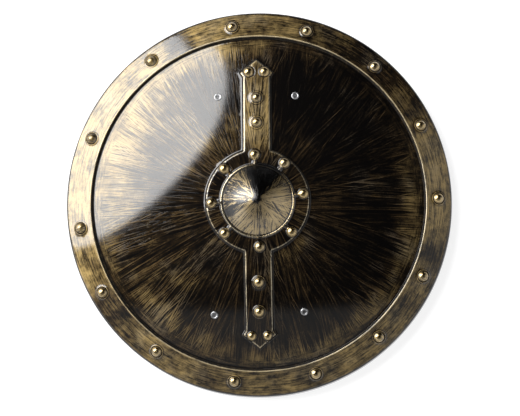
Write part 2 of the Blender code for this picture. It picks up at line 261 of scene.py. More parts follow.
def web_rise(x, y, turn_degrees, share):
    """A web's height: a ridge along the radius through a stud, wider towards the lip. It rises by a share of
    the full height times 1.4 - (across / width)^2 - 0.6 length^4."""
    heading = math.radians(turn_degrees)
    out = x * math.cos(heading) + y * math.sin(heading)
    across = y * math.cos(heading) - x * math.sin(heading)
    flare = np.clip((WEB_MIDDLE - out) / WEB_HALF_LENGTH, 0.0, 1.0)
    width = WEB_HALF_WIDTH + WEB_FLARE * flare ** 2
    length = np.clip(np.abs(out - WEB_MIDDLE) / WEB_HALF_LENGTH, 0.0, 2.0)
    return RELIEF + share * WEB_HEIGHT * (WEB_FULLNESS - (across / width) ** 2 - WEB_TAPER * length ** 4)


# The studs: thirty low round knobs pressed in the sheet to look like rivets, fourteen round the rim, eight on
# the ring and eight on the arms. Those of the rim and the middles of the arms stand on a flat foot. On the
# back, an outline lies further in by a share of the wall: one share for a slope, a foot and a cap.
RIM_STUD = (0.0068, 0.0052)
RING_STUD = (0.0070, 0.0052)
INLINE_STUD = (0.0066, 0.0050)
UPPER_PAIR_STUD = (0.0069, 0.0046)
LOWER_PAIR_STUD = (0.0061, 0.0046)
RIM_STUD_INSET = 0.018
RING_STUD_INSET = 0.0086
PAIR_SPREAD = 0.0200
PAIR_OUTSET = 0.0008
UPPER_INLINE_STEPS = (0.0341, 0.0658)
LOWER_INLINE_STEPS = (0.0299, 0.0663)
RIM_STUD_TURNS = (0.5, 24.7, 48.8, 73.6, 97.8, 126.2, 157.9, 187.1, 209.0, 234.8, 261.5, 287.7, 311.0, 335.0)
RING_STUD_TURNS = (7.8, 53.7, 93.1, 135.4, 182.0, 223.9, 271.9, 317.0)
FOOT_WIDTH = 0.0023
FOOT_HEIGHT = 0.0010
CREASE_DEPTH = 0.00035
CREASE_WIDTH = 0.00045
CAP_FILLET = 0.0003
STUD_FALL = 4.0
BACK_SLOPE_INSET = 0.41
BACK_FOOT_INSET = 0.6
BACK_CAP_INSET = 0.95
STUD_SURROUND = 0.0020
WEB_SURROUND = 0.009
LIP_SURROUND = 0.004


def polar(radius, turn_degrees):
    turn = math.radians(turn_degrees)
    return radius * math.cos(turn), radius * math.sin(turn)


def stud_list():
    """Each stud as its place in plan, its radius and height, the width of its foot and the level it is on."""
    rim_reach = SHIELD_RADIUS - RIM_STUD_INSET
    ring_reach = RING_RADIUS - RING_STUD_INSET
    studs = [(*polar(rim_reach, turn), *RIM_STUD, FOOT_WIDTH, 0.0) for turn in RIM_STUD_TURNS]
    studs += [(*polar(ring_reach, turn), *RING_STUD, 0.0, RELIEF) for turn in RING_STUD_TURNS]
    arms = ((UPPER_REACH, 1.0, UPPER_PAIR_STUD, UPPER_INLINE_STEPS),
            (LOWER_REACH, -1.0, LOWER_PAIR_STUD, LOWER_INLINE_STEPS))
    for reach, way, pair_stud, steps in arms:
        pair_line = reach - HEAD_LENGTH + PAIR_OUTSET
        studs += [(x, way * pair_line, *pair_stud, 0.0, RELIEF) for x in (-PAIR_SPREAD / 2, PAIR_SPREAD / 2)]
        studs += [(0.0, way * (pair_line - step), *INLINE_STUD, FOOT_WIDTH, RELIEF) for step in steps]
    return studs


STUDS = stud_list()


def stud_distance(places, stud):
    """Distance of places on the bare sheet from a stud's axis, which stands square to the sheet."""
    reach = math.hypot(stud[0], stud[1])
    turn = math.atan2(stud[1], stud[0])
    seat = on_sheet(np.array((reach,)), np.array((turn,)), 0.0, 0.0)[0]
    lean = np.interp(reach, line_reach, line_lean)
    axis = np.array((math.sin(lean) * math.cos(turn), math.sin(lean) * math.sin(turn), math.cos(lean)))
    offset = places - seat
    return np.linalg.norm(offset - (offset @ axis)[:, None] * axis, axis=1)


def add_stud(lift, distance, stud, inset):
    """Raise the lift by a stud: the foot's disc is added, and over it stands a round cap of the radius
    (r^2 + h^2) / 2h, with a crease where they meet."""
    radius, height, foot_width, level = stud[2:]
    if foot_width:
        foot = radius + foot_width - BACK_FOOT_INSET * inset
        lift = lift + FOOT_HEIGHT * ramp((foot - distance) / FOOT_HEIGHT)
        level = level + FOOT_HEIGHT
    radius = radius - BACK_CAP_INSET * inset
    curve = (radius ** 2 + height ** 2) / (2.0 * height)
    within = np.minimum(distance, min(radius, curve))
    cap = np.sqrt(curve ** 2 - within ** 2) - curve + height - STUD_FALL * (distance - within)
    crease = CREASE_DEPTH * np.exp(-((distance - radius - CREASE_WIDTH) / CREASE_WIDTH) ** 2) * (inset == 0.0)
    return soft_max(lift, level + cap, CAP_FILLET) - crease


def sheet_lift(x, y, places, inset):
    """Everything raised on the sheet, as a height over its base: the medallion, webs, boss and studs."""
    radius = np.hypot(x, y)
    lift = RELIEF * ramp((medallion_depth(x, y) - BACK_SLOPE_INSET * inset) / EDGE_RUN)
    for turn, share in zip(RING_STUD_TURNS, WEB_SHARES):
        web_x, web_y = polar(WEB_MIDDLE, turn)
        near = np.hypot(x - web_x, y - web_y) < WEB_SURROUND
        if share and inset == 0.0:
            lift[near] = soft_max(lift[near], web_rise(x[near], y[near], turn, share), WEB_FILLET)
    for stud in STUDS:
        distance = stud_distance(places, stud)
        near = distance < stud[2] + stud[4] + STUD_SURROUND
        lift[near] = add_stud(lift[near], distance[near], stud, inset)
    centre = radius < LIP_RADIUS + LIP_SURROUND
    lift[centre] = soft_max(lift[centre], boss_rise(radius[centre], inset), LIP_FILLET)
    return lift


# The two sides: the face and the hollow back are one sheet, drawn together, and they meet at the cut edge.
# Points are laid on each side in bands of rings, given as the reach from and to, the step between rings and
# the space along them; in rows set in from the medallion's foot line; and in rings round each stud.
EDGE_COUNT = 640
EDGE_CLEARANCE = 0.00001
FACE_BANDS = ((0.0, 0.0422, 0.0017, 0.0020), (0.0427, 0.0484, 0.00038, 0.0013),
              (0.0492, 0.0626, 0.0022, 0.0026), (0.070, 0.2060, 0.0042, 0.0046),
              (0.2076, 0.2136, 0.0005, 0.0022), (0.2155, 0.2405, 0.0031, 0.0036),
              (0.2412, 0.2463, 0.0006, 0.0026), (0.2480, edge_reach - 0.002, 0.0045, 0.0030))
FACE_ROWS = (-0.0010, -0.0005, 0.0, 0.0004, 0.0009, 0.0015, 0.0021, 0.0026, 0.0030, 0.0035, 0.0041)
FACE_GRID = dict(row_step=0.0013, stud_steps=8, spokes=28)
BACK_BANDS = ((0.0, 0.0422, 0.0030, 0.0034), (0.0430, 0.0484, 0.0009, 0.0026),
              (0.0496, 0.0626, 0.0033, 0.0036), (0.070, 0.2050, 0.0062, 0.0066),
              (0.2074, 0.2137, 0.0009, 0.0036), (0.2165, 0.2405, 0.0048, 0.0056),
              (0.2412, 0.2463, 0.0010, 0.0040), (0.2490, edge_reach - 0.003, 0.0060, 0.0050))
BACK_ROWS = (-0.0004, 0.0006, 0.0015, 0.0026, 0.0035, 0.0044)
BACK_GRID = dict(row_step=0.0024, stud_steps=5, spokes=18)
ROW_CLEARANCE = 0.8
PLAIN_FOOT_RINGS = (0.0004, 0.0010, 0.0018)
FOOT_RINGS = (0.0004, 0.0009)
FOOT_EDGE_RINGS = (-0.0010, -0.0004, 0.0002, 0.0011)
STUD_CLEARANCE = 0.0007
JOINED_WITHIN = 1e-7
UPRIGHT_WITHIN = 0.046
SQUARE_BEYOND = 0.056


def ring_points(low, high, step, arc):
    """Rings of points between two reaches, a step apart, each turned half a space from the one before."""
    reaches = np.linspace(low, high, int(round((high - low) / step)) + 1)
    rings = []
    for k, reach in enumerate(reaches):
        count = max(1, int(round(math.tau * reach / arc)))
        turn = (np.arange(count) + 0.5 * (k % 2)) * math.tau / count
        rings.append(reach * circle(turn))
    return np.concatenate(rings)


def stud_points(stud, distances, spokes):
    """Rings of points round a stud's axis, shortened towards the rim by the slope that they lie on."""
    reach = math.hypot(stud[0], stud[1])
    lean = np.interp(reach, line_reach, line_lean)
    turn = (np.arange(spokes)[None] + 0.5 * (np.arange(len(distances)) % 2)[:, None]) * math.tau / spokes
    out = (np.array(distances)[:, None] * np.cos(turn) * math.cos(lean)).ravel() + reach
    across = (np.array(distances)[:, None] * np.sin(turn)).ravel()
    heading = np.array(stud[:2]) / reach
    return out[:, None] * heading + across[:, None] * np.array((-heading[1], heading[0]))


def sheet_points(bands, rows, inset, row_step, stud_steps, spokes):
    """Points of one side of the sheet in plan: rings everywhere, rows that follow the medallion's outline,
    and rings round each stud, each clearing the ones before it from its place."""
    kept = np.concatenate([ring_points(*band) for band in bands])
    depth = medallion_depth(kept[:, 0], kept[:, 1])
    clearance = ROW_CLEARANCE * row_step
    clear = (depth < rows[0] - clearance) | (depth > rows[-1] + clearance)
    outline = np.concatenate([medallion_row(row, row_step) for row in rows])
    kept = np.concatenate((kept[clear], outline))
    for stud in STUDS:
        radius = stud[2] - BACK_CAP_INSET * inset
        foot = stud[4]
        cap = radius * np.sin(np.linspace(0.0, math.pi / 2, stud_steps + 1)[1:])
        past_cap = (*FOOT_RINGS, *(foot + ring for ring in FOOT_EDGE_RINGS)) if foot else PLAIN_FOOT_RINGS
        distances = np.concatenate((cap, radius + np.array(past_cap)))
        reach = np.hypot(*(kept - stud[:2]).T)
        kept = kept[reach > distances[-1] + STUD_CLEARANCE]
        kept = np.concatenate((kept, np.array([stud[:2]]), stud_points(stud, distances, spokes)))
    within = np.hypot(kept[:, 0], kept[:, 1]) < edge_reach - EDGE_CLEARANCE
    edge = edge_reach * circle(np.arange(EDGE_COUNT) * math.tau / EDGE_COUNT)
    return np.concatenate((edge, kept[within]))


def sheet_side(points, inset):
    """Places and triangles of one side of the sheet, and the places on its bare form that they are raised
    from. The points are joined in plan, counter-clockwise."""
    x, y = points.T
    reach = np.hypot(x, y)
    turn = np.arctan2(y, x)
    still = np.zeros(len(points))
    base = on_sheet(reach, turn, still, still)
    upright = 1.0 - smooth(reach, UPRIGHT_WITHIN, SQUARE_BEYOND)
    places = on_sheet(reach, turn, sheet_lift(x, y, base, inset) - inset, upright)
    corners = np.array(delaunay_2d_cdt(points.tolist(), [], [], 0, JOINED_WITHIN)[2])
    a, b, c = (points[corners[:, k]] for k in range(3))
    area = (b[:, 0] - a[:, 0]) * (c[:, 1] - a[:, 1]) - (b[:, 1] - a[:, 1]) * (c[:, 0] - a[:, 0])
    corners[area < 0.0] = corners[area < 0.0][:, ::-1]
    return places, corners, base


face_points = sheet_points(FACE_BANDS, FACE_ROWS, 0.0, **FACE_GRID)
back_points = sheet_points(BACK_BANDS, BACK_ROWS, WALL, **BACK_GRID)
face_places, face_corners, face_base = sheet_side(face_points, 0.0)
back_places, back_corners = sheet_side(back_points, WALL)[:2]

edge = np.arange(EDGE_COUNT)
next_edge = (edge + 1) % EDGE_COUNT
back_start = len(face_places)
cut_edge = np.concatenate((np.stack((edge, back_start + edge, next_edge), axis=1),
                           np.stack((next_edge, back_start + edge, back_start + next_edge), axis=1)))
shell_places = np.concatenate((face_places, back_places))
shell_corners = np.concatenate((face_corners, back_corners[:, ::-1] + back_start, cut_edge))


def add_object(name, data):
    """A new object at the origin, linked to the scene."""
    new = bpy.data.objects.new(name, data)
    bpy.context.scene.collection.objects.link(new)
    return new


shell_mesh = bpy.data.meshes.new("pressed_sheet")
shell_mesh.from_pydata(shell_places.tolist(), [], shell_corners.tolist())
shell_mesh.shade_smooth()
shell = add_object("pressed_sheet", shell_mesh)
edge_ends = np.empty(2 * len(shell_mesh.edges), dtype=np.int32)
shell_mesh.edges.foreach_get("vertices", edge_ends)
edge_ends = edge_ends.reshape(-1, 2)
on_face_edge = (edge_ends < EDGE_COUNT).all(axis=1)
on_back_edge = ((edge_ends >= back_start) & (edge_ends < back_start + EDGE_COUNT)).all(axis=1)
sharp = shell_mesh.attributes.new("sharp_edge", "BOOLEAN", "EDGE")
sharp.data.foreach_set("value", on_face_edge | on_back_edge)


def vertex_value(mesh, name, values):
    """Store one number for each vertex, which a material reads by its name."""
    layer = mesh.attributes.new(name, "FLOAT", "POINT")
    layer.data.foreach_set("value", np.ascontiguousarray(values, dtype=np.float32))


def bend(places, corners, normals):
    """How sharply a surface bends at each vertex, in 1/m: positive on a ridge, negative in a groove. It is
    the mean step to the neighbours along the normal over half their mean distance squared."""
    start = corners[:, (0, 1, 2)].ravel()
    end = corners[:, (1, 2, 0)].ravel()
    step = places[end] - places[start]
    count = np.maximum(np.bincount(start, minlength=len(places)), 1)
    drop = -np.bincount(start, (step * normals[start]).sum(axis=1), minlength=len(places)) / count
    span = np.bincount(start, (step ** 2).sum(axis=1), minlength=len(places)) / count
    return 2.0 * drop / np.maximum(span, 1e-12)


SHARP_BEND = 900.0
normals = np.empty(3 * len(shell_places), dtype=np.float32)
shell_mesh.vertices.foreach_get("normal", normals)
ridge = bend(shell_places, shell_corners, normals.reshape(-1, 3))
ridge[back_start:] = 0.0
vertex_value(shell_mesh, "ridge", np.clip(ridge / SHARP_BEND, 0.0, 1.0))
vertex_value(shell_mesh, "groove", np.clip(-ridge / SHARP_BEND, 0.0, 1.0))


# The paint: gloss black all over the face, then gold dragged on with a nearly dry brush, outwards over the
# field and the boss and round and round on the rim, so that it catches on ridges and misses grooves. The
# black left in the grooves also stands in for the shade in them, and pale gold on lips and crest lines is a
# painted sheen.
def add_node(tree, kind, inputs=(), **settings):
    """A shader node with its settings, and its inputs given as values or as the sockets that feed them."""
    node = tree.nodes.new(kind)
    for name, value in settings.items():
        setattr(node, name, value)
    for key, value in dict(inputs).items():
        if isinstance(value, bpy.types.NodeSocket):
            tree.links.new(value, node.inputs[key])
        else:
            node.inputs[key].default_value = value
    return node


def maths(tree, operation, a, b=0.0, c=0.0, clamp=False):
    inputs = {0: a, 1: b, 2: c}
    return add_node(tree, "ShaderNodeMath", inputs, operation=operation, use_clamp=clamp).outputs[0]


def vector_maths(tree, operation, a, b=(0.0, 0.0, 0.0)):
    return add_node(tree, "ShaderNodeVectorMath", {0: a, 1: b}, operation=operation).outputs[0]


def combine(tree, x=0.0, y=0.0, z=0.0):
    return add_node(tree, "ShaderNodeCombineXYZ", {0: x, 1: y, 2: z}).outputs[0]


def flat_length(tree, x, y):
    """Length as seen from above: the root of x^2 + y^2."""
    return maths(tree, "SQRT", maths(tree, "MULTIPLY_ADD", x, x, maths(tree, "MULTIPLY", y, y)))


def attribute(tree, name):
    return add_node(tree, "ShaderNodeAttribute", attribute_name=name).outputs["Fac"]


def remap(tree, value, low, high, to_low=0.0, to_high=1.0):
    """Smooth change from one range to another, held at its ends."""
    inputs = {"Value": value, "From Min": low, "From Max": high, "To Min": to_low, "To Max": to_high}
    return add_node(tree, "ShaderNodeMapRange", inputs, interpolation_type="SMOOTHSTEP").outputs["Result"]


def noise(tree, vector, scale, detail=2.0, roughness=0.5):
    inputs = {"Vector": vector, "Scale": scale, "Detail": detail, "Roughness": roughness}
    return add_node(tree, "ShaderNodeTexNoise", inputs).outputs["Fac"]


def mix_colour(tree, share, a, b):
    node = add_node(tree, "ShaderNodeMix", {"Factor": share}, data_type="RGBA")
    for socket, colour in ((node.inputs[6], a), (node.inputs[7], b)):
        if isinstance(colour, bpy.types.NodeSocket):
            tree.links.new(colour, socket)
        else:
            socket.default_value = (*colour, 1.0)
    return node.outputs[2]


def mix_value(tree, share, a, b):
    return add_node(tree, "ShaderNodeMix", {0: share, 2: a, 3: b}, data_type="FLOAT").outputs[0]


def bump(tree, strength, distance, height):
    inputs = {"Strength": strength, "Distance": distance, "Height": height}
    return add_node(tree, "ShaderNodeBump", inputs).outputs[0]


def new_material(name):
    """A new material, its node tree, its shader and the object's own coordinates."""
    material = bpy.data.materials.new(name)
    material.use_nodes = True
    tree = material.node_tree
    coordinates = add_node(tree, "ShaderNodeTexCoord").outputs["Object"]
    return material, tree, tree.nodes["Principled BSDF"], coordinates


def fan_strokes(tree, coordinates, angle, fans, hairs):
    """Brush strokes in fans: the face is cut into sectors, and each holds straight strokes along its own
    middle line, turned by a random slant. Places across them are snapped to lanes one hair wide, and each
    layer of hairs is noise stretched to a width and a length."""
    sector, shift, slant, seed = fans
    place = maths(tree, "ADD", maths(tree, "DIVIDE", angle, sector), shift)
    number = maths(tree, "FLOOR", place)
    chance = add_node(tree, "ShaderNodeTexWhiteNoise", {"W": maths(tree, "ADD", number, seed)},
                      noise_dimensions="1D").outputs["Value"]
    middle = maths(tree, "MULTIPLY", maths(tree, "SUBTRACT", number, shift - 0.5), sector)
    slanted = maths(tree, "MULTIPLY", maths(tree, "SUBTRACT", chance, 0.5), slant)
    turned_back = maths(tree, "MULTIPLY", maths(tree, "ADD", middle, slanted), -1.0)
    level = add_node(tree, "ShaderNodeVectorRotate", {"Vector": coordinates, "Angle": turned_back},
                     rotation_type="Z_AXIS").outputs[0]
    split = add_node(tree, "ShaderNodeSeparateXYZ", {0: level})
    hair = combine(tree, split.outputs[0], maths(tree, "SNAP", split.outputs[1], HAIR_WIDTH))
    apart = combine(tree, z=maths(tree, "MULTIPLY", chance, 50.0))
    total = 0.0
    for width, length, share in hairs:
        drawn = vector_maths(tree, "MULTIPLY", hair, (1.0 / length, 1.0 / width, 0.0))
        layer = noise(tree, vector_maths(tree, "ADD", drawn, apart), 1.0, 1.0, 0.5)
        total = maths(tree, "MULTIPLY_ADD", layer, share, total)
    return total


LACQUERED_BLACK = (0.0026, 0.0022, 0.0021)
BRONZE = (0.062, 0.039, 0.017)
OLD_GOLD = (0.300, 0.214, 0.086)
GREY_GOLD = (0.17, 0.15, 0.12)
# A pale gold that paints the sheen of white light on the lips, the crest lines and the boss
PAINTED_SHEEN_GOLD = (0.34, 0.30, 0.22)
HAIR_WIDTH = 0.0008
# Fans: the width of a sector, its shift in sectors, the range of slants, and the seed
FIRST_FANS = (math.radians(13), 0.0, math.radians(14), 3.0)
SECOND_FANS = (math.radians(9), 0.37, math.radians(34), 11.0)
BOSS_FANS = (math.radians(45), 0.2, math.radians(75), 29.0)
# Layers of hairs: the width, length and share of each
FIRST_HAIRS = ((0.0050, 0.260, 0.10), (0.0012, 0.260, 0.50), (0.0010, 0.040, 0.40))
SECOND_HAIRS = ((0.0040, 0.220, 0.10), (0.0010, 0.110, 0.50), (0.0009, 0.022, 0.40))
BOSS_HAIRS = ((0.0030, 0.060, 0.26), (0.0012, 0.040, 0.50), (0.0006, 0.020, 0.24))
STROKE_MEAN = 0.55
STROKE_SPREAD = 0.15
# Where the cut through the strokes starts and where it is all gold: on the field, the rim and the boss
DRY = (-0.15, -0.17, -0.01)
WET = (0.17, 0.28, 0.06)
# On the field and on the rim: how blotchy the load is, and the gold on the weakest hairs
BLOTCHES = (0.88, 1.3)
WEAK_HAIRS = (0.35, 0.80)
FULL_HAIRS = 1.12
# Gold taken out of grooves: the dry brush misses them, and the bare black there also paints their shade
GROOVE_LOSS_AND_SHADE = 1.5
CREST_GAIN = 0.4
BOSS_BLUR = 0.001


def paint_face(name):
    """Black under a wash of gold. The wash is brush strokes cut softly at a level that falls as the load
    rises, thinner on their weak hairs, all under clear lacquer. Black and gold are one glossy layer that
    reflects little or much, so it is metal all over, and it is smoother where the gold is polished."""
    material, tree, shader, coordinates = new_material(name)
    x, y = add_node(tree, "ShaderNodeSeparateXYZ", {0: coordinates}).outputs[:2]
    angle = maths(tree, "ARCTAN2", y, x)
    radius = flat_length(tree, x, y)
    around = attribute(tree, "swirl")
    on_boss = remap(tree, radius, boss_radius - BOSS_BLUR, boss_radius + BOSS_BLUR, 1.0, 0.0)
    first = fan_strokes(tree, coordinates, angle, FIRST_FANS, FIRST_HAIRS)
    second = fan_strokes(tree, coordinates, angle, SECOND_FANS, SECOND_HAIRS)
    fans = maths(tree, "MAXIMUM", first, second)
    across = fan_strokes(tree, coordinates, angle, BOSS_FANS, BOSS_HAIRS)
    both = mix_value(tree, 0.55, fans, maths(tree, "ADD", across, 0.03))
    fans = mix_value(tree, on_boss, fans, both)
    lane = maths(tree, "MULTIPLY", maths(tree, "SNAP", radius, HAIR_WIDTH), 700.0)
    streak_place = combine(tree, maths(tree, "MULTIPLY", x, 40.0), maths(tree, "MULTIPLY", y, 40.0), lane)
    streaks = noise(tree, streak_place, 1.0, 3.0, 0.6)
    blots = noise(tree, coordinates, 150.0, 4.0, 0.65)
    rounds = maths(tree, "ADD", mix_value(tree, 0.30, streaks, blots), 0.05)
    strokes = mix_value(tree, around, fans, rounds)
    mottle = maths(tree, "SUBTRACT", noise(tree, coordinates, 34.0, 4.0, 0.65), 0.5)
    grain = noise(tree, coordinates, 900.0, 3.0, 0.6)
    patchy = maths(tree, "MULTIPLY", mottle, mix_value(tree, around, *BLOTCHES))
    load = maths(tree, "ADD", attribute(tree, "gold"), patchy)
    load = maths(tree, "ADD", attribute(tree, "ridge"), load)
    # Grooves lose gold: partly the brush missing them, partly painted shade
    load = maths(tree, "MULTIPLY_ADD", attribute(tree, "groove"), -GROOVE_LOSS_AND_SHADE, load)
    inside = remap(tree, radius, crest_radius - 0.0004, crest_radius + 0.0005)
    outside = remap(tree, radius, crest_radius + 0.0004, crest_radius + 0.0014, 1.0, 0.0)
    load = maths(tree, "MULTIPLY_ADD", maths(tree, "MULTIPLY", inside, outside), CREST_GAIN, load)
    pattern = maths(tree, "MULTIPLY_ADD", maths(tree, "SUBTRACT", grain, 0.5), 0.25, strokes)
    level = maths(tree, "MULTIPLY_ADD", load, -2.0 * STROKE_SPREAD, STROKE_MEAN + STROKE_SPREAD)
    dry, wet = (mix_value(tree, on_boss, mix_value(tree, around, field, rim), boss)
                for field, rim, boss in (DRY, WET))
    mask = remap(tree, maths(tree, "SUBTRACT", pattern, level), dry, wet)
    thin = remap(tree, strokes, 0.42, 0.60, mix_value(tree, around, *WEAK_HAIRS), FULL_HAIRS)
    mask = maths(tree, "MULTIPLY", mask, thin, clamp=True)
    warmth = maths(tree, "SUBTRACT", noise(tree, coordinates, 14.0, 3.0, 0.5), 0.5)
    rich = remap(tree, maths(tree, "MULTIPLY_ADD", warmth, 0.6, load), 0.25, 0.95)
    gold = mix_colour(tree, rich, BRONZE, OLD_GOLD)
    dull = remap(tree, noise(tree, coordinates, 27.0, 3.0, 0.6), 0.48, 0.68, 0.0, 0.28)
    gold = mix_colour(tree, dull, gold, GREY_GOLD)
    # Painted sheen: pale gold mixed in where the vertices carry it, on lips, crest lines and the boss
    gold = mix_colour(tree, attribute(tree, "painted_sheen_and_shade"), gold, PAINTED_SHEEN_GOLD)
    tree.links.new(mix_colour(tree, mask, LACQUERED_BLACK, gold), shader.inputs["Base Color"])
    satin = mix_value(tree, grain, 0.62, 0.74)
    tree.links.new(mix_value(tree, attribute(tree, "polish"), satin, 0.22), shader.inputs["Roughness"])
    tree.links.new(bump(tree, 0.6, 0.0004, pattern), shader.inputs["Normal"])
    ruffled = remap(tree, radius, boss_radius - BOSS_BLUR, boss_radius + BOSS_BLUR, 0.9, 0.13)
    tree.links.new(bump(tree, ruffled, 0.0005, pattern), shader.inputs["Coat Normal"])
    shader.inputs["Metallic"].default_value = 1.0
    shader.inputs["Coat Weight"].default_value = 1.0
    shader.inputs["Coat IOR"].default_value = 1.5
    shader.inputs["Coat Roughness"].default_value = 0.05
    return material


# Patches on the field: the turn in degrees and the radius of each, its spread both ways, and the gold added
BRUSHED_PATCHES = ((213, 0.135, 34, 0.050, 0.01), (185, 0.110, 20, 0.040, -0.06),
                   (238, 0.186, 22, 0.012, 0.24), (198, 0.184, 12, 0.018, -0.16),
                   (275, 0.198, 30, 0.009, 0.08), (312, 0.196, 26, 0.010, 0.28),
                   (5, 0.192, 18, 0.014, 0.26), (100, 0.2025, 26, 0.010, 0.28),
                   (114, 0.172, 9, 0.022, -0.11), (150, 0.197, 40, 0.028, 0.44),
                   (126, 0.100, 18, 0.022, 0.26), (140, 0.140, 30, 0.040, 0.12),
                   (300, 0.095, 30, 0.025, 0.04), (60, 0.150, 36, 0.050, -0.44),
                   (340, 0.148, 20, 0.036, -0.24), (2, 0.166, 10, 0.020, 0.08),
                   (272, 0.150, 30, 0.040, -0.18), (101, 0.180, 8, 0.020, 0.12))
BARE_LOAD = 0.30
PLATE_LOAD = 0.28
UPPER_ARM_LOAD = 0.66
EDGE_LOAD = 0.14
WORN_EDGE_LOAD = 0.2
ROUND_SHARE = 0.7
# Painted shade: gold taken out of the corner under the rim's step, leaving it dark. The turn where it is
# most, its mean and its swing
CORNER_SHADE = (205, 0.32, 0.46)
RIM_LOAD = 0.66
# Patches on the rim: turn and spread in degrees, and the gold added
RIM_PATCHES = ((152, 42, 0.19), (5, 32, 0.18), (52, 24, -0.38), (94, 16, 0.10), (262, 30, -0.07),
               (116, 3.5, -0.45), (217, 6, -0.24), (243, 9, 0.10), (342, 5, -0.34), (323, 6, -0.20))
STUD_LOAD = 1.5
DARK_STUD_TURN = 156
DARK_STUD_SPREAD = 44
DARK_STUD_LOSS = 1.05
DARK_STUD_SATIN = 0.55
BOSS_LOAD = 0.73
# The share of painted sheen, as pale gold, over the whole boss
BOSS_PAINTED_SHEEN = 0.12
BOSS_SHINE = 0.72
BOSS_BARE_TURN = 80
BOSS_BARE_SPREAD = 25
BOSS_BARE_LOSS = 1.15
BOSS_BARE_TIP = 0.0048
BOSS_FURROW_TURN = 202
BOSS_FURROW_SWEEP = 20
BOSS_FURROW_SPREAD = 2.6
BOSS_FURROW_LOSS = 0.55
BOSS_THIN = (162, 0.036, 34, 0.010, 0.20)
LIP_LOAD = 0.95
LIP_DRY = 0.45
LIP_FULL_TURN = 190
LIP_FULL_SPREAD = 95
LIP_BARE_TURN = 70
LIP_BARE_SPREAD = 22
LIP_BARE_LOSS = 1.2
EDGE_SHINE = 0.6
# How strongly the painted sheen's pale gold shows
PAINTED_SHEEN_SHARE = 0.8


def turn_gap(turn_degrees, middle):
    """Angle from a turn to another, the short way round, in degrees."""
    return (turn_degrees - middle + 180.0) % 360.0 - 180.0


def bell(gap, spread, power=2):
    """exp(-(gap / spread)^power): a bell at power 2, with a flatter top and steeper sides at power 4."""
    return np.exp(-((gap / spread) ** power))


def band(value, rise, fall):
    """1 between a soft rise and a soft fall, each given by its two ends, and 0 beyond them."""
    return smooth(value, *rise) * (1.0 - smooth(value, *fall))


def patch(radius, turn_degrees, middle_turn, middle_radius, turn_spread, radius_spread):
    """A soft spot: exp(-(t^2 + r^2) / 2), where t and r are the distances over their spreads."""
    off_turn = turn_gap(turn_degrees, middle_turn) / turn_spread
    return np.exp(-0.5 * (off_turn ** 2 + ((radius - middle_radius) / radius_spread) ** 2))


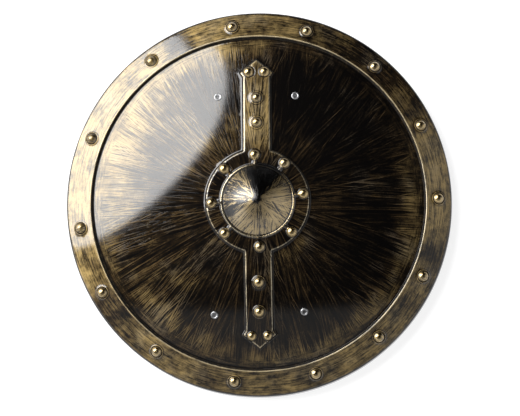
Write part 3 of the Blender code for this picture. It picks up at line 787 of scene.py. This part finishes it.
def face_values(points, base):
    """For each face vertex: the brush's load of gold, how far its strokes run round instead of outwards, how
    smooth the gold is, and how much pale gold is painted on as a sheen. The corner under the step loses its
    gold as painted shade. The brush skipped the skirt, the top of the boss and a furrow in it, and it left
    the studs on one side of the rim browner."""
    x, y = points.T
    reach = np.hypot(x, y)
    turn = np.degrees(np.arctan2(y, x))
    depth = medallion_depth(x, y)
    plate = smooth(depth, 0.0, EDGE_RUN)
    rim = smooth(reach, crest_radius - 0.0015, crest_radius + 0.001)
    boss = 1.0 - smooth(reach, boss_radius - 0.0010, boss_radius + 0.0006)
    lip = band(reach, (boss_radius - 0.0002, boss_radius + 0.0012), (LIP_RADIUS - 0.0007, LIP_RADIUS))
    stud = np.zeros(len(points))
    for each in STUDS:
        stud = np.maximum(stud, 1.0 - smooth(stud_distance(base, each), each[2] - 0.0008, each[2] + 0.0002))
    gold = np.full(len(points), BARE_LOAD)
    for *spot, amount in BRUSHED_PATCHES:
        gold += amount * patch(reach, turn, *spot)
    upper_arm = smooth(y, RING_RADIUS - 0.010, RING_RADIUS + 0.020)
    plate_gold = PLATE_LOAD + (UPPER_ARM_LOAD - PLATE_LOAD) * upper_arm
    gold = gold * (1.0 - plate) + plate_gold * plate
    gold += EDGE_LOAD * band(depth, (-0.0002, 0.0008), (EDGE_RUN - 0.0002, EDGE_RUN + 0.0008))
    rim_gold = RIM_LOAD + sum(more * np.exp(-0.5 * (turn_gap(turn, middle) / spread) ** 2)
                              for middle, spread, more in RIM_PATCHES)
    gold = gold * (1.0 - rim) + rim_gold * rim
    # Painted shade: the corner under the step loses gold, more towards one turn than the other
    in_corner = band(reach, (field_radius - 0.0022, field_radius), (crest_radius - 0.0012, crest_radius))
    shade_turn, shade_mean, shade_swing = CORNER_SHADE
    gold -= (shade_mean + shade_swing * np.cos(np.radians(turn - shade_turn))) * in_corner
    missed = BOSS_BARE_LOSS * bell(turn_gap(turn, BOSS_BARE_TURN), BOSS_BARE_SPREAD)
    missed = np.maximum(missed, bell(reach, BOSS_BARE_TIP, 4))
    furrow = turn_gap(turn, BOSS_FURROW_TURN - BOSS_FURROW_SWEEP * (1.0 - reach / boss_radius))
    missed = np.maximum(missed, BOSS_FURROW_LOSS * bell(furrow, BOSS_FURROW_SPREAD))
    missed += BOSS_THIN[4] * patch(reach, turn, *BOSS_THIN[:4])
    gold = gold * (1.0 - boss) + (BOSS_LOAD - missed) * boss
    lip_missed = bell(turn_gap(turn, LIP_BARE_TURN), LIP_BARE_SPREAD, 4)
    lip_full = LIP_DRY + (1.0 - LIP_DRY) * bell(turn_gap(turn, LIP_FULL_TURN), LIP_FULL_SPREAD, 4)
    gold += (LIP_LOAD * lip_full - LIP_BARE_LOSS * lip_missed - gold) * lip
    edge = band(depth, (EDGE_RUN - 0.0009, EDGE_RUN - 0.0004), (EDGE_RUN + 0.0001, EDGE_RUN + 0.0006))
    crest = band(reach, (crest_radius - 0.0006, crest_radius - 0.0001),
                 (crest_radius + 0.0006, crest_radius + 0.0011))
    edge = np.maximum(edge, crest)
    gold += WORN_EDGE_LOAD * edge
    gold -= smooth(reach, slope_end - 0.0005, slope_end + 0.0030)
    dark_stud = (reach > crest_radius) * bell(turn_gap(turn, DARK_STUD_TURN), DARK_STUD_SPREAD, 4)
    gold += (STUD_LOAD - DARK_STUD_LOSS * dark_stud - gold) * stud
    swirl = np.maximum(rim, ROUND_SHARE * smooth(reach, field_radius - 0.015, field_radius - 0.007))
    # Painted sheen: pale gold on the lip, strongest round its fullest turn, on the crest lines and a little
    # over the boss
    painted_sheen_and_shade = np.maximum(lip * (1.0 - lip_missed) * lip_full ** 2, np.maximum(edge, BOSS_PAINTED_SHEEN * boss))
    shine = np.maximum(stud * (1.0 - DARK_STUD_SATIN * dark_stud), lip)
    shine = np.maximum(shine, np.maximum(BOSS_SHINE * boss, EDGE_SHINE * edge))
    return gold, swirl * (1.0 - stud), shine, PAINTED_SHEEN_SHARE * painted_sheen_and_shade * (1.0 - stud)


behind = np.zeros(len(back_places))
painted = face_values(face_points, face_base)
for value_name, values in zip(("gold", "swirl", "polish", "painted_sheen_and_shade"), painted):
    vertex_value(shell_mesh, value_name, np.concatenate((values, behind)))

MOULDED_BLACK = (0.014, 0.014, 0.015)
CLOUDED_BLACK = (0.034, 0.034, 0.036)
SCUFFED_BLACK = (0.075, 0.075, 0.078)
# The near black that paints shade, and the gold dust in it
SHADE_BLACK = (0.006, 0.0055, 0.005)
GOLD_DUST = (0.030, 0.022, 0.012)


def bare_plastic(name):
    """Black sheet as it came off the mould: half gloss, with clouds where it cooled unevenly, a fine grain
    and a few light scuffs from straps and hands."""
    material, tree, shader, coordinates = new_material(name)
    haze = noise(tree, coordinates, 16.0, 4.0, 0.6)
    drawn = vector_maths(tree, "MULTIPLY", coordinates, (30.0, 420.0, 30.0))
    scuffs = remap(tree, noise(tree, drawn, 1.0, 3.0, 0.6), 0.62, 0.74)
    scuffs = maths(tree, "MULTIPLY", scuffs, remap(tree, haze, 0.50, 0.64))
    clouded = mix_colour(tree, remap(tree, haze, 0.34, 0.66), MOULDED_BLACK, CLOUDED_BLACK)
    tree.links.new(mix_colour(tree, scuffs, clouded, SCUFFED_BLACK), shader.inputs["Base Color"])
    tree.links.new(remap(tree, haze, 0.35, 0.65, 0.26, 0.46), shader.inputs["Roughness"])
    tree.links.new(bump(tree, 0.4, 0.0001, noise(tree, coordinates, 700.0, 3.0)), shader.inputs["Normal"])
    return material


def painted_shade_black(name):
    """Matt black that paints the shade on the walls of the steps, in the gutter, on the medallion's
    unpolished slopes and round the feet of the rim's studs, with a little gold dust."""
    material, tree, shader, coordinates = new_material(name)
    dust = remap(tree, noise(tree, coordinates, 260.0, 4.0, 0.65), 0.45, 0.75)
    tree.links.new(mix_colour(tree, dust, SHADE_BLACK, GOLD_DUST), shader.inputs["Base Color"])
    shader.inputs["Roughness"].default_value = 0.62
    shader.inputs["Specular IOR Level"].default_value = 0.05
    return material


# How far the matt black of painted shade shows past each edge of the step, of the gutter, of the
# medallion's slope and of a cap
DULL_FOOT = 0.0003
DULL_CREST = 0.0004
DULL_GUTTER = 0.0004
DULL_SLOPE = (0.0004, 0.0020)
STUD_COLLAR = (-0.0002, 0.0013)
POLISHED_ABOVE = 0.05
PAINTED, BARE, PAINTED_SHADE = range(3)

shell_mesh.materials.append(paint_face("gold_brushed_on_gloss_black"))
shell_mesh.materials.append(bare_plastic("bare_black_plastic"))
shell_mesh.materials.append(painted_shade_black("matt_black_painted_shade"))
middles = face_points[face_corners].mean(axis=1)
reach = np.hypot(*middles.T)
depth = medallion_depth(*middles.T)
unpolished = painted[2][face_corners].min(axis=1) < POLISHED_ABOVE
# The matt black of painted shade: step walls, gutter, unpolished medallion slopes and collars round rim studs
dull = (reach > field_radius - DULL_FOOT) & (reach < crest_radius - DULL_CREST)
dull |= (reach > boss_radius - DULL_GUTTER) & (reach < boss_radius + DULL_GUTTER)
dull |= (depth > DULL_SLOPE[0]) & (depth < DULL_SLOPE[1]) & unpolished
for each in STUDS:
    past_cap = stud_distance(face_base, each)[face_corners].mean(axis=1) - each[2]
    dull |= (past_cap > STUD_COLLAR[0]) & (past_cap < STUD_COLLAR[1]) & (reach > crest_radius)
finish = np.full(len(shell_corners), BARE, dtype=np.int32)
finish[:len(face_corners)] = np.where(dull, PAINTED_SHADE, PAINTED)
shell_mesh.polygons.foreach_set("material_index", finish)
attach(shell, "root")
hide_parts("shield_shell")


# The rivets: four zinc-plated steel rivets go through the field and the ends of the straps behind it. Each
# has a low head that the setting tool rolled to a raised rim round a dished middle, and a flat back head.
RIVET_HEAD_RADIUS = 0.0048
RIVET_HEAD_HEIGHT = 0.0010
RIVET_RIM_RADIUS = 0.0037
RIVET_DISH_RADIUS = 0.0024
RIVET_DISH_DEPTH = 0.0004
RIVET_SHANK_RADIUS = 0.0020
RIVET_BACK_EDGE = 0.0003
RIVET_SIDES = 48
STRAP_THICKNESS = 0.0016
STRAP_GAP = 0.0001
RIVET_NODES = ("rivet_upper_left", "rivet_upper_right", "rivet_lower_left", "rivet_lower_right")


def rivet_profile():
    """Radius and height over the sheet, from the front's middle to the back's: a flat dish, a cosine up to
    the rim's crest, a quarter ellipse down to the sheet, the shank, and the rounded back head."""
    up = np.linspace(0.0, 1.0, 9)
    dish = np.stack((RIVET_DISH_RADIUS * up, np.full(9, RIVET_HEAD_HEIGHT - RIVET_DISH_DEPTH)), axis=1)
    rise = np.stack((RIVET_DISH_RADIUS + (RIVET_RIM_RADIUS - RIVET_DISH_RADIUS) * up,
                     RIVET_HEAD_HEIGHT - RIVET_DISH_DEPTH * 0.5 * (1.0 + np.cos(math.pi * up))), axis=1)
    fall = np.stack((RIVET_RIM_RADIUS + (RIVET_HEAD_RADIUS - RIVET_RIM_RADIUS) * np.sin(up * math.pi / 2),
                     RIVET_HEAD_HEIGHT * np.cos(up * math.pi / 2)), axis=1)
    under = -WALL - STRAP_GAP - STRAP_THICKNESS
    shank = ((RIVET_SHANK_RADIUS, 0.0), (RIVET_SHANK_RADIUS, under))
    turn = np.linspace(0.0, math.pi / 2, 5)
    corner = np.stack((RIVET_HEAD_RADIUS - RIVET_BACK_EDGE * (1.0 - np.cos(turn)),
                       under - RIVET_HEAD_HEIGHT + RIVET_BACK_EDGE * (1.0 - np.sin(turn))), axis=1)
    back = ((RIVET_HEAD_RADIUS - 0.0001, under), *corner, (0.0, under - RIVET_HEAD_HEIGHT))
    return np.concatenate((dish, rise[1:], fall[1:], shank, back))


def turned(profile, sides):
    """A profile turned round the Z axis, (r cos a, r sin a, h), closed to a point at both ends."""
    ring = circle(np.arange(sides) * math.tau / sides)
    middle = profile[1:-1]
    heights = np.repeat(middle[:, 1:, None], sides, axis=1)
    rows = np.concatenate((middle[:, :1, None] * ring[None], heights), axis=2).reshape(-1, 3)
    top_pole, low_pole = ((0.0, 0.0, profile[end, 1]) for end in (0, -1))
    places = np.concatenate(((top_pole,), rows, (low_pole,)))
    start = 1 + np.arange(len(middle) - 1)[:, None] * sides
    here, there = np.arange(sides), (np.arange(sides) + 1) % sides
    quads = np.stack((start + here, start + sides + here, start + sides + there, start + there), axis=2)
    last = len(places) - 1
    top = np.stack((np.zeros(sides, int), 1 + here, 1 + there), axis=1)
    bottom = np.stack((np.full(sides, last), last - sides + there, last - sides + here), axis=1)
    return places, quads.reshape(-1, 4).tolist() + top.tolist() + bottom.tolist()


def plated_steel(name):
    """Bright zinc plate over hammered steel: mottled grey with fine scratches, and darker in the dish as
    painted shade.
    """
    material, tree, shader, coordinates = new_material(name)
    blots = noise(tree, coordinates, 420.0, 3.0, 0.6)
    drawn = vector_maths(tree, "MULTIPLY", coordinates, (900.0, 5200.0, 900.0))
    scratches = noise(tree, drawn, 1.0, 3.0, 0.6)
    shade = remap(tree, blots, 0.35, 0.68)
    plate = mix_colour(tree, shade, (0.16, 0.16, 0.163), (0.42, 0.42, 0.427))
    # Painted shade: a darker grey for the dish
    painted_sheen_and_shade = mix_colour(tree, shade, (0.035, 0.035, 0.036), (0.13, 0.13, 0.133))
    dish = attribute(tree, "dish")
    tree.links.new(mix_colour(tree, dish, plate, painted_sheen_and_shade), shader.inputs["Base Color"])
    tree.links.new(mix_value(tree, dish, mix_value(tree, blots, 0.24, 0.44), 0.5), shader.inputs["Roughness"])
    shader.inputs["Metallic"].default_value = 1.0
    height = mix_value(tree, 0.7, scratches, blots)
    tree.links.new(bump(tree, 0.6, 0.0002, height), shader.inputs["Normal"])
    return material


steel = plated_steel("zinc_plated_steel")
rivet_shape, rivet_faces = turned(rivet_profile(), RIVET_SIDES)
off_axis = np.hypot(*rivet_shape[:, :2].T)
in_dish = 1.0 - smooth(off_axis, RIVET_DISH_RADIUS - 0.0003, RIVET_DISH_RADIUS + 0.0006)
in_dish *= rivet_shape[:, 2] > 0.0
dome_middle = np.array((0.0, 0.0, dome_centre))
for node in RIVET_NODES:
    low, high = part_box(node)
    axis = unit(np.array(low) / 2 + np.array(high) / 2 - dome_middle)
    side = unit(np.cross((0.0, 1.0, 0.0), axis))
    axes = np.stack((side, np.cross(axis, side), axis))
    rivet_mesh = bpy.data.meshes.new(node + "_turned")
    rivet_mesh.from_pydata((rivet_shape @ axes + dome_middle + axis * DOME_RADIUS).tolist(), [], rivet_faces)
    rivet_mesh.shade_smooth()
    rivet_mesh.set_sharp_from_angle(angle=math.radians(50))
    rivet_mesh.materials.append(steel)
    vertex_value(rivet_mesh, "dish", in_dish)
    rivet = add_object(node + "_turned", rivet_mesh)
    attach(rivet, "root")
    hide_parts(node)


# The straps: two lengths of black polypropylene webbing, 25 mm wide, held by a rivet at each end and slack
# between them. The upper one is the hand grip and the lower one goes round the forearm.
STRAP_WIDTH = 0.0250
STRAP_TAB = 0.0120
STRAP_EASE = 0.78
STRAP_FULLNESS = 0.95
UPPER_STRAP = (0.1334, 0.0974, 0.033, 0.0)
LOWER_STRAP = (-0.1406, 0.1126, 0.034, math.radians(1.3))
WEAVE_PITCH = 0.0021
WEAVE_COLUMNS = 11
WEAVE_DEPTH = 0.00011
MELTED_END = 0.0008
OVAL_POWER = 12
OVAL_SPACING = 0.55
STRAP_ROWS_APART = 0.00042
STRAP_ROUND = 96


def strap_line(span, drop):
    """The strap's middle line as a run along the sheet and a depth under it: flat tabs out to both ends, and
    between them a cubic curve that leaves the sheet flat and is level again at the middle of the drop."""
    inner = span / 2 - STRAP_TAB
    t = np.linspace(0.0, 1.0, 400)[:, None]
    handles = np.array(((inner, 0.0), (STRAP_EASE * inner, 0.0), (STRAP_FULLNESS * inner, drop), (0.0, drop)))
    curve = ((1 - t) ** 3 * handles[0] + 3 * t * (1 - t) ** 2 * handles[1]
             + 3 * t ** 2 * (1 - t) * handles[2] + t ** 3 * handles[3])
    half = np.concatenate((((span / 2 + STRAP_TAB, 0.0),), curve))
    line = np.concatenate((half, half[-2::-1] * (-1.0, 1.0)))
    length = np.concatenate(((0.0,), np.cumsum(np.hypot(*np.diff(line, axis=0).T))))
    even = np.linspace(0.0, length[-1], int(round(length[-1] / STRAP_ROWS_APART)))
    return np.stack((np.interp(even, length, line[:, 0]), np.interp(even, length, line[:, 1])), axis=1), even


def webbing(place, span, drop, slant):
    """The ribbon's places and its own coordinates in metres. Round the section runs a flat oval,
    |x/w|^12 + |z/t|^2 = 1, raised by the weave: a cosine along each bundle, turned over in the next."""
    line, along = strap_line(span, drop)
    level = DOME_RADIUS - WALL - STRAP_GAP - STRAP_THICKNESS / 2
    radial = level - line[:, 1]
    turn = line[:, 0] / level
    centre = np.stack((radial * np.sin(turn), np.zeros(len(turn)), radial * np.cos(turn)), axis=1)
    ahead = np.gradient(centre, axis=0)
    ahead /= np.linalg.norm(ahead, axis=1)[:, None]
    outward = np.stack((-ahead[:, 2], np.zeros(len(turn)), ahead[:, 0]), axis=1)
    outward *= np.sign(outward[:, 2:]) + (outward[:, 2:] == 0.0)
    round_turn = np.arange(STRAP_ROUND) * math.tau / STRAP_ROUND
    across = np.sign(np.cos(round_turn)) * np.abs(np.cos(round_turn)) ** OVAL_SPACING
    thick = np.sign(np.sin(round_turn)) * np.sqrt(1.0 - np.abs(across) ** OVAL_POWER)
    to_end = np.minimum(along, along[-1] - along)[:, None]
    melted = np.sqrt(np.clip(1.0 - (1.0 - np.clip(to_end / MELTED_END, 0.0, 1.0)) ** 2, 0.02, 1.0))
    phase = math.tau * along[:, None] / WEAVE_PITCH
    column = (across + 1.0) * WEAVE_COLUMNS / 2.0
    weave = np.cos(phase + math.pi * np.floor(column)[None])
    bundle = np.sqrt(np.abs(np.sin(math.pi * column)))[None]
    relief = WEAVE_DEPTH * weave * bundle * smooth(to_end, 0.001, 0.003) * np.sign(thick)[None]
    rise = thick[None] * (STRAP_THICKNESS / 2 - WEAVE_DEPTH) * melted + relief * np.abs(thick)[None]
    reach = across[None] * (STRAP_WIDTH / 2) * (1.0 - 0.01 * (1.0 - melted))
    places = centre[:, None] + outward[:, None] * rise[:, :, None]
    places[:, :, 1] = reach
    lean = Matrix.Rotation(-math.asin(place / DOME_RADIUS), 4, "X") @ Matrix.Rotation(slant, 4, "Z")
    placed = places.reshape(-1, 3) @ np.array(lean.to_3x3()).T + dome_middle
    return placed, len(along), along, np.broadcast_to(reach, rise.shape)


def add_strap(name, node, shape, material):
    """Join the ribbon's rows into faces and close both cut ends with a fan."""
    places, rows, along, reach = webbing(*shape)
    start = np.arange(rows - 1)[:, None] * STRAP_ROUND
    here = np.arange(STRAP_ROUND)
    there = (here + 1) % STRAP_ROUND
    ahead = start + STRAP_ROUND
    quads = np.stack((start + here, start + there, ahead + there, ahead + here), axis=2)
    last = (rows - 1) * STRAP_ROUND
    ends = np.stack((places[:STRAP_ROUND].mean(axis=0), places[last:].mean(axis=0)))
    hub = len(places)
    first_fan = np.stack((np.full(STRAP_ROUND, hub), there, here), axis=1)
    last_fan = np.stack((np.full(STRAP_ROUND, hub + 1), last + here, last + there), axis=1)
    mesh = bpy.data.meshes.new(name)
    mesh.from_pydata(np.concatenate((places, ends)).tolist(), [],
                     quads.reshape(-1, 4).tolist() + first_fan.tolist() + last_fan.tolist())
    mesh.shade_smooth()
    vertex_value(mesh, "along", np.concatenate((np.repeat(along, STRAP_ROUND), along[[0, -1]])))
    vertex_value(mesh, "across", np.concatenate((reach.ravel(), (0.0, 0.0))))
    vertex_value(mesh, "to_end", np.concatenate((np.repeat(np.minimum(along, along[-1] - along), STRAP_ROUND),
                                                 (0.0, 0.0))))
    mesh.materials.append(material)
    strap = add_object(name, mesh)
    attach(strap, "root")
    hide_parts(node)


def black_webbing(name):
    """Black yarn with fine filaments along the bundles, paler in soft patches, and smooth melted ends."""
    material, tree, shader, coordinates = new_material(name)
    along = maths(tree, "MULTIPLY", attribute(tree, "along"), 500.0)
    across = maths(tree, "MULTIPLY", attribute(tree, "across"), 7000.0)
    fibres = noise(tree, combine(tree, along, across), 1.0, 3.0, 0.6)
    fuzz = noise(tree, coordinates, 60.0, 4.0, 0.6)
    shade = maths(tree, "MULTIPLY", fibres, maths(tree, "ADD", fuzz, 0.5))
    cloth = mix_colour(tree, shade, (0.018, 0.018, 0.020), (0.075, 0.075, 0.080))
    melted = remap(tree, attribute(tree, "to_end"), 0.0016, 0.0006)
    tree.links.new(mix_colour(tree, melted, cloth, (0.008, 0.008, 0.008)), shader.inputs["Base Color"])
    tree.links.new(mix_value(tree, melted, 0.62, 0.25), shader.inputs["Roughness"])
    tree.links.new(bump(tree, 0.5, 0.0001, fibres), shader.inputs["Normal"])
    shader.inputs["Sheen Weight"].default_value = 0.15
    return material


webbing_finish = black_webbing("black_polypropylene_webbing")
add_strap("hand_grip_webbing", "strap_upper", UPPER_STRAP, webbing_finish)
add_strap("forearm_webbing", "strap_lower", LOWER_STRAP, webbing_finish)


# The floor and the light: the shield lies face up on a pale studio floor. A wide soft box hangs over its
# upper left, and the studio round it is dark overhead, pale low down, and darkest beyond the upper right.
FLOOR_SIZE = 12.0
FLOOR_PAINT = (0.30, 0.30, 0.30)
FLOOR_GLOW = 0.80
HIDDEN_GLOW = (0.90, 3.2)
HIDDEN_GLOW_PLACE = (-0.10, 0.09, 0.0)
HIDDEN_GLOW_RADIUS = 0.15
SOFT_BOX_TURN = 149.8
SOFT_BOX_OFF_AXIS = 47.2
SOFT_BOX_TWIST = math.radians(-29.5)
SOFT_BOX_DISTANCE = 2.4
SOFT_BOX_HALF_ANGLES = (math.radians(31.4), math.radians(22.4))
SOFT_BOX_RADIANCE = 11.2
OVERHEAD_RADIANCE = 0.010
LOW_RADIANCE = 1.60
BRIGHT_RADIANCE = 1.1
WALL_RADIANCE = 0.75
FRONT_RADIANCE = 0.34
DARK_SIDE_TURN = 72.0
BRIGHT_SIDE_TURN = 165.0
WALL_TURN = -12.0
FRONT_SLOPE = 0.315
PALE_BACKDROP = 0.85

floor_mesh = bpy.data.meshes.new("studio_floor")
half_floor = FLOOR_SIZE / 2
floor_corners = [(x * half_floor, y * half_floor, 0.0) for x, y in ((-1, -1), (1, -1), (1, 1), (-1, 1))]
floor_mesh.from_pydata(floor_corners, [], [(0, 1, 2, 3)])
floor = add_object("studio_floor", floor_mesh)


def floor_finish(name):
    """A matt white table top, lit softly from inside: evenly where it shows, and from one side under the
    shield, to give form to the hollow. Its own underside lets sight and light through."""
    material, tree, shader, place = new_material(name)
    shader.inputs["Base Color"].default_value = (*FLOOR_PAINT, 1.0)
    shader.inputs["Roughness"].default_value = 0.9
    shader.inputs["Emission Color"].default_value = (1.0, 1.0, 1.0, 1.0)
    off_middle = add_node(tree, "ShaderNodeVectorMath", {0: place}, operation="LENGTH").outputs["Value"]
    off_spot = add_node(tree, "ShaderNodeVectorMath", {0: place, 1: HIDDEN_GLOW_PLACE},
                        operation="DISTANCE").outputs["Value"]
    hidden = remap(tree, off_spot, 0.0, HIDDEN_GLOW_RADIUS, HIDDEN_GLOW[1], HIDDEN_GLOW[0])
    shown = remap(tree, off_middle, SHIELD_RADIUS - 0.016, SHIELD_RADIUS - 0.004)
    tree.links.new(mix_value(tree, shown, hidden, FLOOR_GLOW), shader.inputs["Emission Strength"])
    clear = add_node(tree, "ShaderNodeBsdfTransparent")
    under = add_node(tree, "ShaderNodeNewGeometry").outputs["Backfacing"]
    both = add_node(tree, "ShaderNodeMixShader", {0: under, 1: shader.outputs[0], 2: clear.outputs[0]})
    tree.links.new(both.outputs[0], tree.nodes["Material Output"].inputs["Surface"])
    return material


floor_mesh.materials.append(floor_finish("pale_floor"))


def facing_back(away, sideways, roll, distance):
    """A placement at a distance along an axis, facing back down it. Its X axis is the sideways direction
    turned about the axis by the roll: s cos roll + (a x s) sin roll."""
    rolled = sideways * math.cos(roll) + np.cross(away, sideways) * math.sin(roll)
    placed = np.eye(4)
    placed[:3] = np.stack((rolled, np.cross(away, rolled), away, away * distance), axis=1)
    return Matrix(placed.tolist())


def soft_box(name):
    """An elliptical light that faces the shield. A flat emitter gives radiance x pi x area in watts."""
    lamp = bpy.data.lights.new(name, "AREA")
    lamp.shape = "ELLIPSE"
    lamp.size, lamp.size_y = (2.0 * SOFT_BOX_DISTANCE * math.tan(angle) for angle in SOFT_BOX_HALF_ANGLES)
    lamp.energy = SOFT_BOX_RADIANCE * math.pi * (math.pi / 4.0) * lamp.size * lamp.size_y
    light = add_object(name, lamp)
    light.visible_camera = False
    off = math.radians(SOFT_BOX_OFF_AXIS)
    away = np.array((*polar(math.sin(off), SOFT_BOX_TURN), math.cos(off)))
    sideways = unit(np.cross((0.0, 0.0, 1.0), away))
    light.matrix_world = facing_back(away, sideways, SOFT_BOX_TWIST, SOFT_BOX_DISTANCE)


soft_box("soft_box")


def towards(tree, heading, turn_degrees):
    """Cosine of the angle, seen from above, between a direction and a turn."""
    x, y = heading.outputs[:2]
    flat = flat_length(tree, x, y)
    aim_x, aim_y = polar(1.0, turn_degrees)
    along = maths(tree, "ADD", maths(tree, "MULTIPLY", x, aim_x), maths(tree, "MULTIPLY", y, aim_y))
    return maths(tree, "DIVIDE", along, maths(tree, "MAXIMUM", flat, 0.001))


def studio_world(name):
    """Light from the studio by its direction (x, y, z): pale low down except towards the dark side and
    brighter on the left, with a pale wall on the right that stands higher, and a dim floor in front where y
    is under -0.315 z. The camera sees an even backdrop."""
    world = bpy.data.worlds.new(name)
    bpy.context.scene.world = world
    world.use_nodes = True
    tree = world.node_tree
    direction = add_node(tree, "ShaderNodeTexCoord").outputs["Generated"]
    heading = add_node(tree, "ShaderNodeSeparateXYZ", {0: direction})
    y, z = heading.outputs[1:3]
    lit_side = remap(tree, towards(tree, heading, DARK_SIDE_TURN), 0.80, 0.30, 0.0, LOW_RADIANCE)
    bright_side = remap(tree, towards(tree, heading, BRIGHT_SIDE_TURN), 0.30, 0.80, 0.0, BRIGHT_RADIANCE)
    low = maths(tree, "MULTIPLY", remap(tree, z, 0.64, 0.42), maths(tree, "ADD", lit_side, bright_side))
    low = maths(tree, "MULTIPLY", remap(tree, z, 0.08, 0.28, 0.10, 1.0), low)
    wall = remap(tree, towards(tree, heading, WALL_TURN), 0.55, 0.95, 0.0, WALL_RADIANCE)
    wall = maths(tree, "MULTIPLY", remap(tree, z, 0.84, 0.70), wall)
    front = maths(tree, "SUBTRACT", maths(tree, "MULTIPLY", z, -FRONT_SLOPE), y)
    pale_front = remap(tree, front, -0.01, 0.03, 0.0, FRONT_RADIANCE)
    glow = maths(tree, "MAXIMUM", maths(tree, "MAXIMUM", low, wall), pale_front)
    glow = maths(tree, "ADD", glow, OVERHEAD_RADIANCE)
    seen = add_node(tree, "ShaderNodeLightPath").outputs["Is Camera Ray"]
    background = tree.nodes["Background"]
    tree.links.new(mix_value(tree, seen, glow, PALE_BACKDROP), background.inputs["Color"])


studio_world("studio")


# The camera: three metres off, a little to the right of the shield's axis and below it, with a long lens.
IMAGE_WIDTH = 520
IMAGE_HEIGHT = 416
CAMERA_DISTANCE = 3.0
CAMERA_TO_RIGHT = math.radians(2.2)
CAMERA_BELOW = math.radians(5.2)
CAMERA_ROLL = math.radians(-0.7635)
FOCAL_PIXELS = 2355.63
SENSOR_WIDTH = 36.0
AXIS_PIXEL = (259.30, 204.85)

away = unit((math.tan(CAMERA_TO_RIGHT), -math.tan(CAMERA_BELOW), 1.0))
right = unit(np.cross(-away, (0.0, 1.0, 0.0)))
lens = bpy.data.cameras.new("camera")
lens.sensor_width = SENSOR_WIDTH
lens.lens = SENSOR_WIDTH * FOCAL_PIXELS / IMAGE_WIDTH
lens.shift_x = (IMAGE_WIDTH / 2 - AXIS_PIXEL[0]) / IMAGE_WIDTH
lens.shift_y = (AXIS_PIXEL[1] - IMAGE_HEIGHT / 2) / IMAGE_WIDTH
lens.clip_end = 100.0
camera = add_object("camera", lens)
camera.matrix_world = facing_back(away, right, CAMERA_ROLL, CAMERA_DISTANCE)
bpy.context.scene.camera = camera
bpy.context.scene.view_settings.view_transform = "Standard"
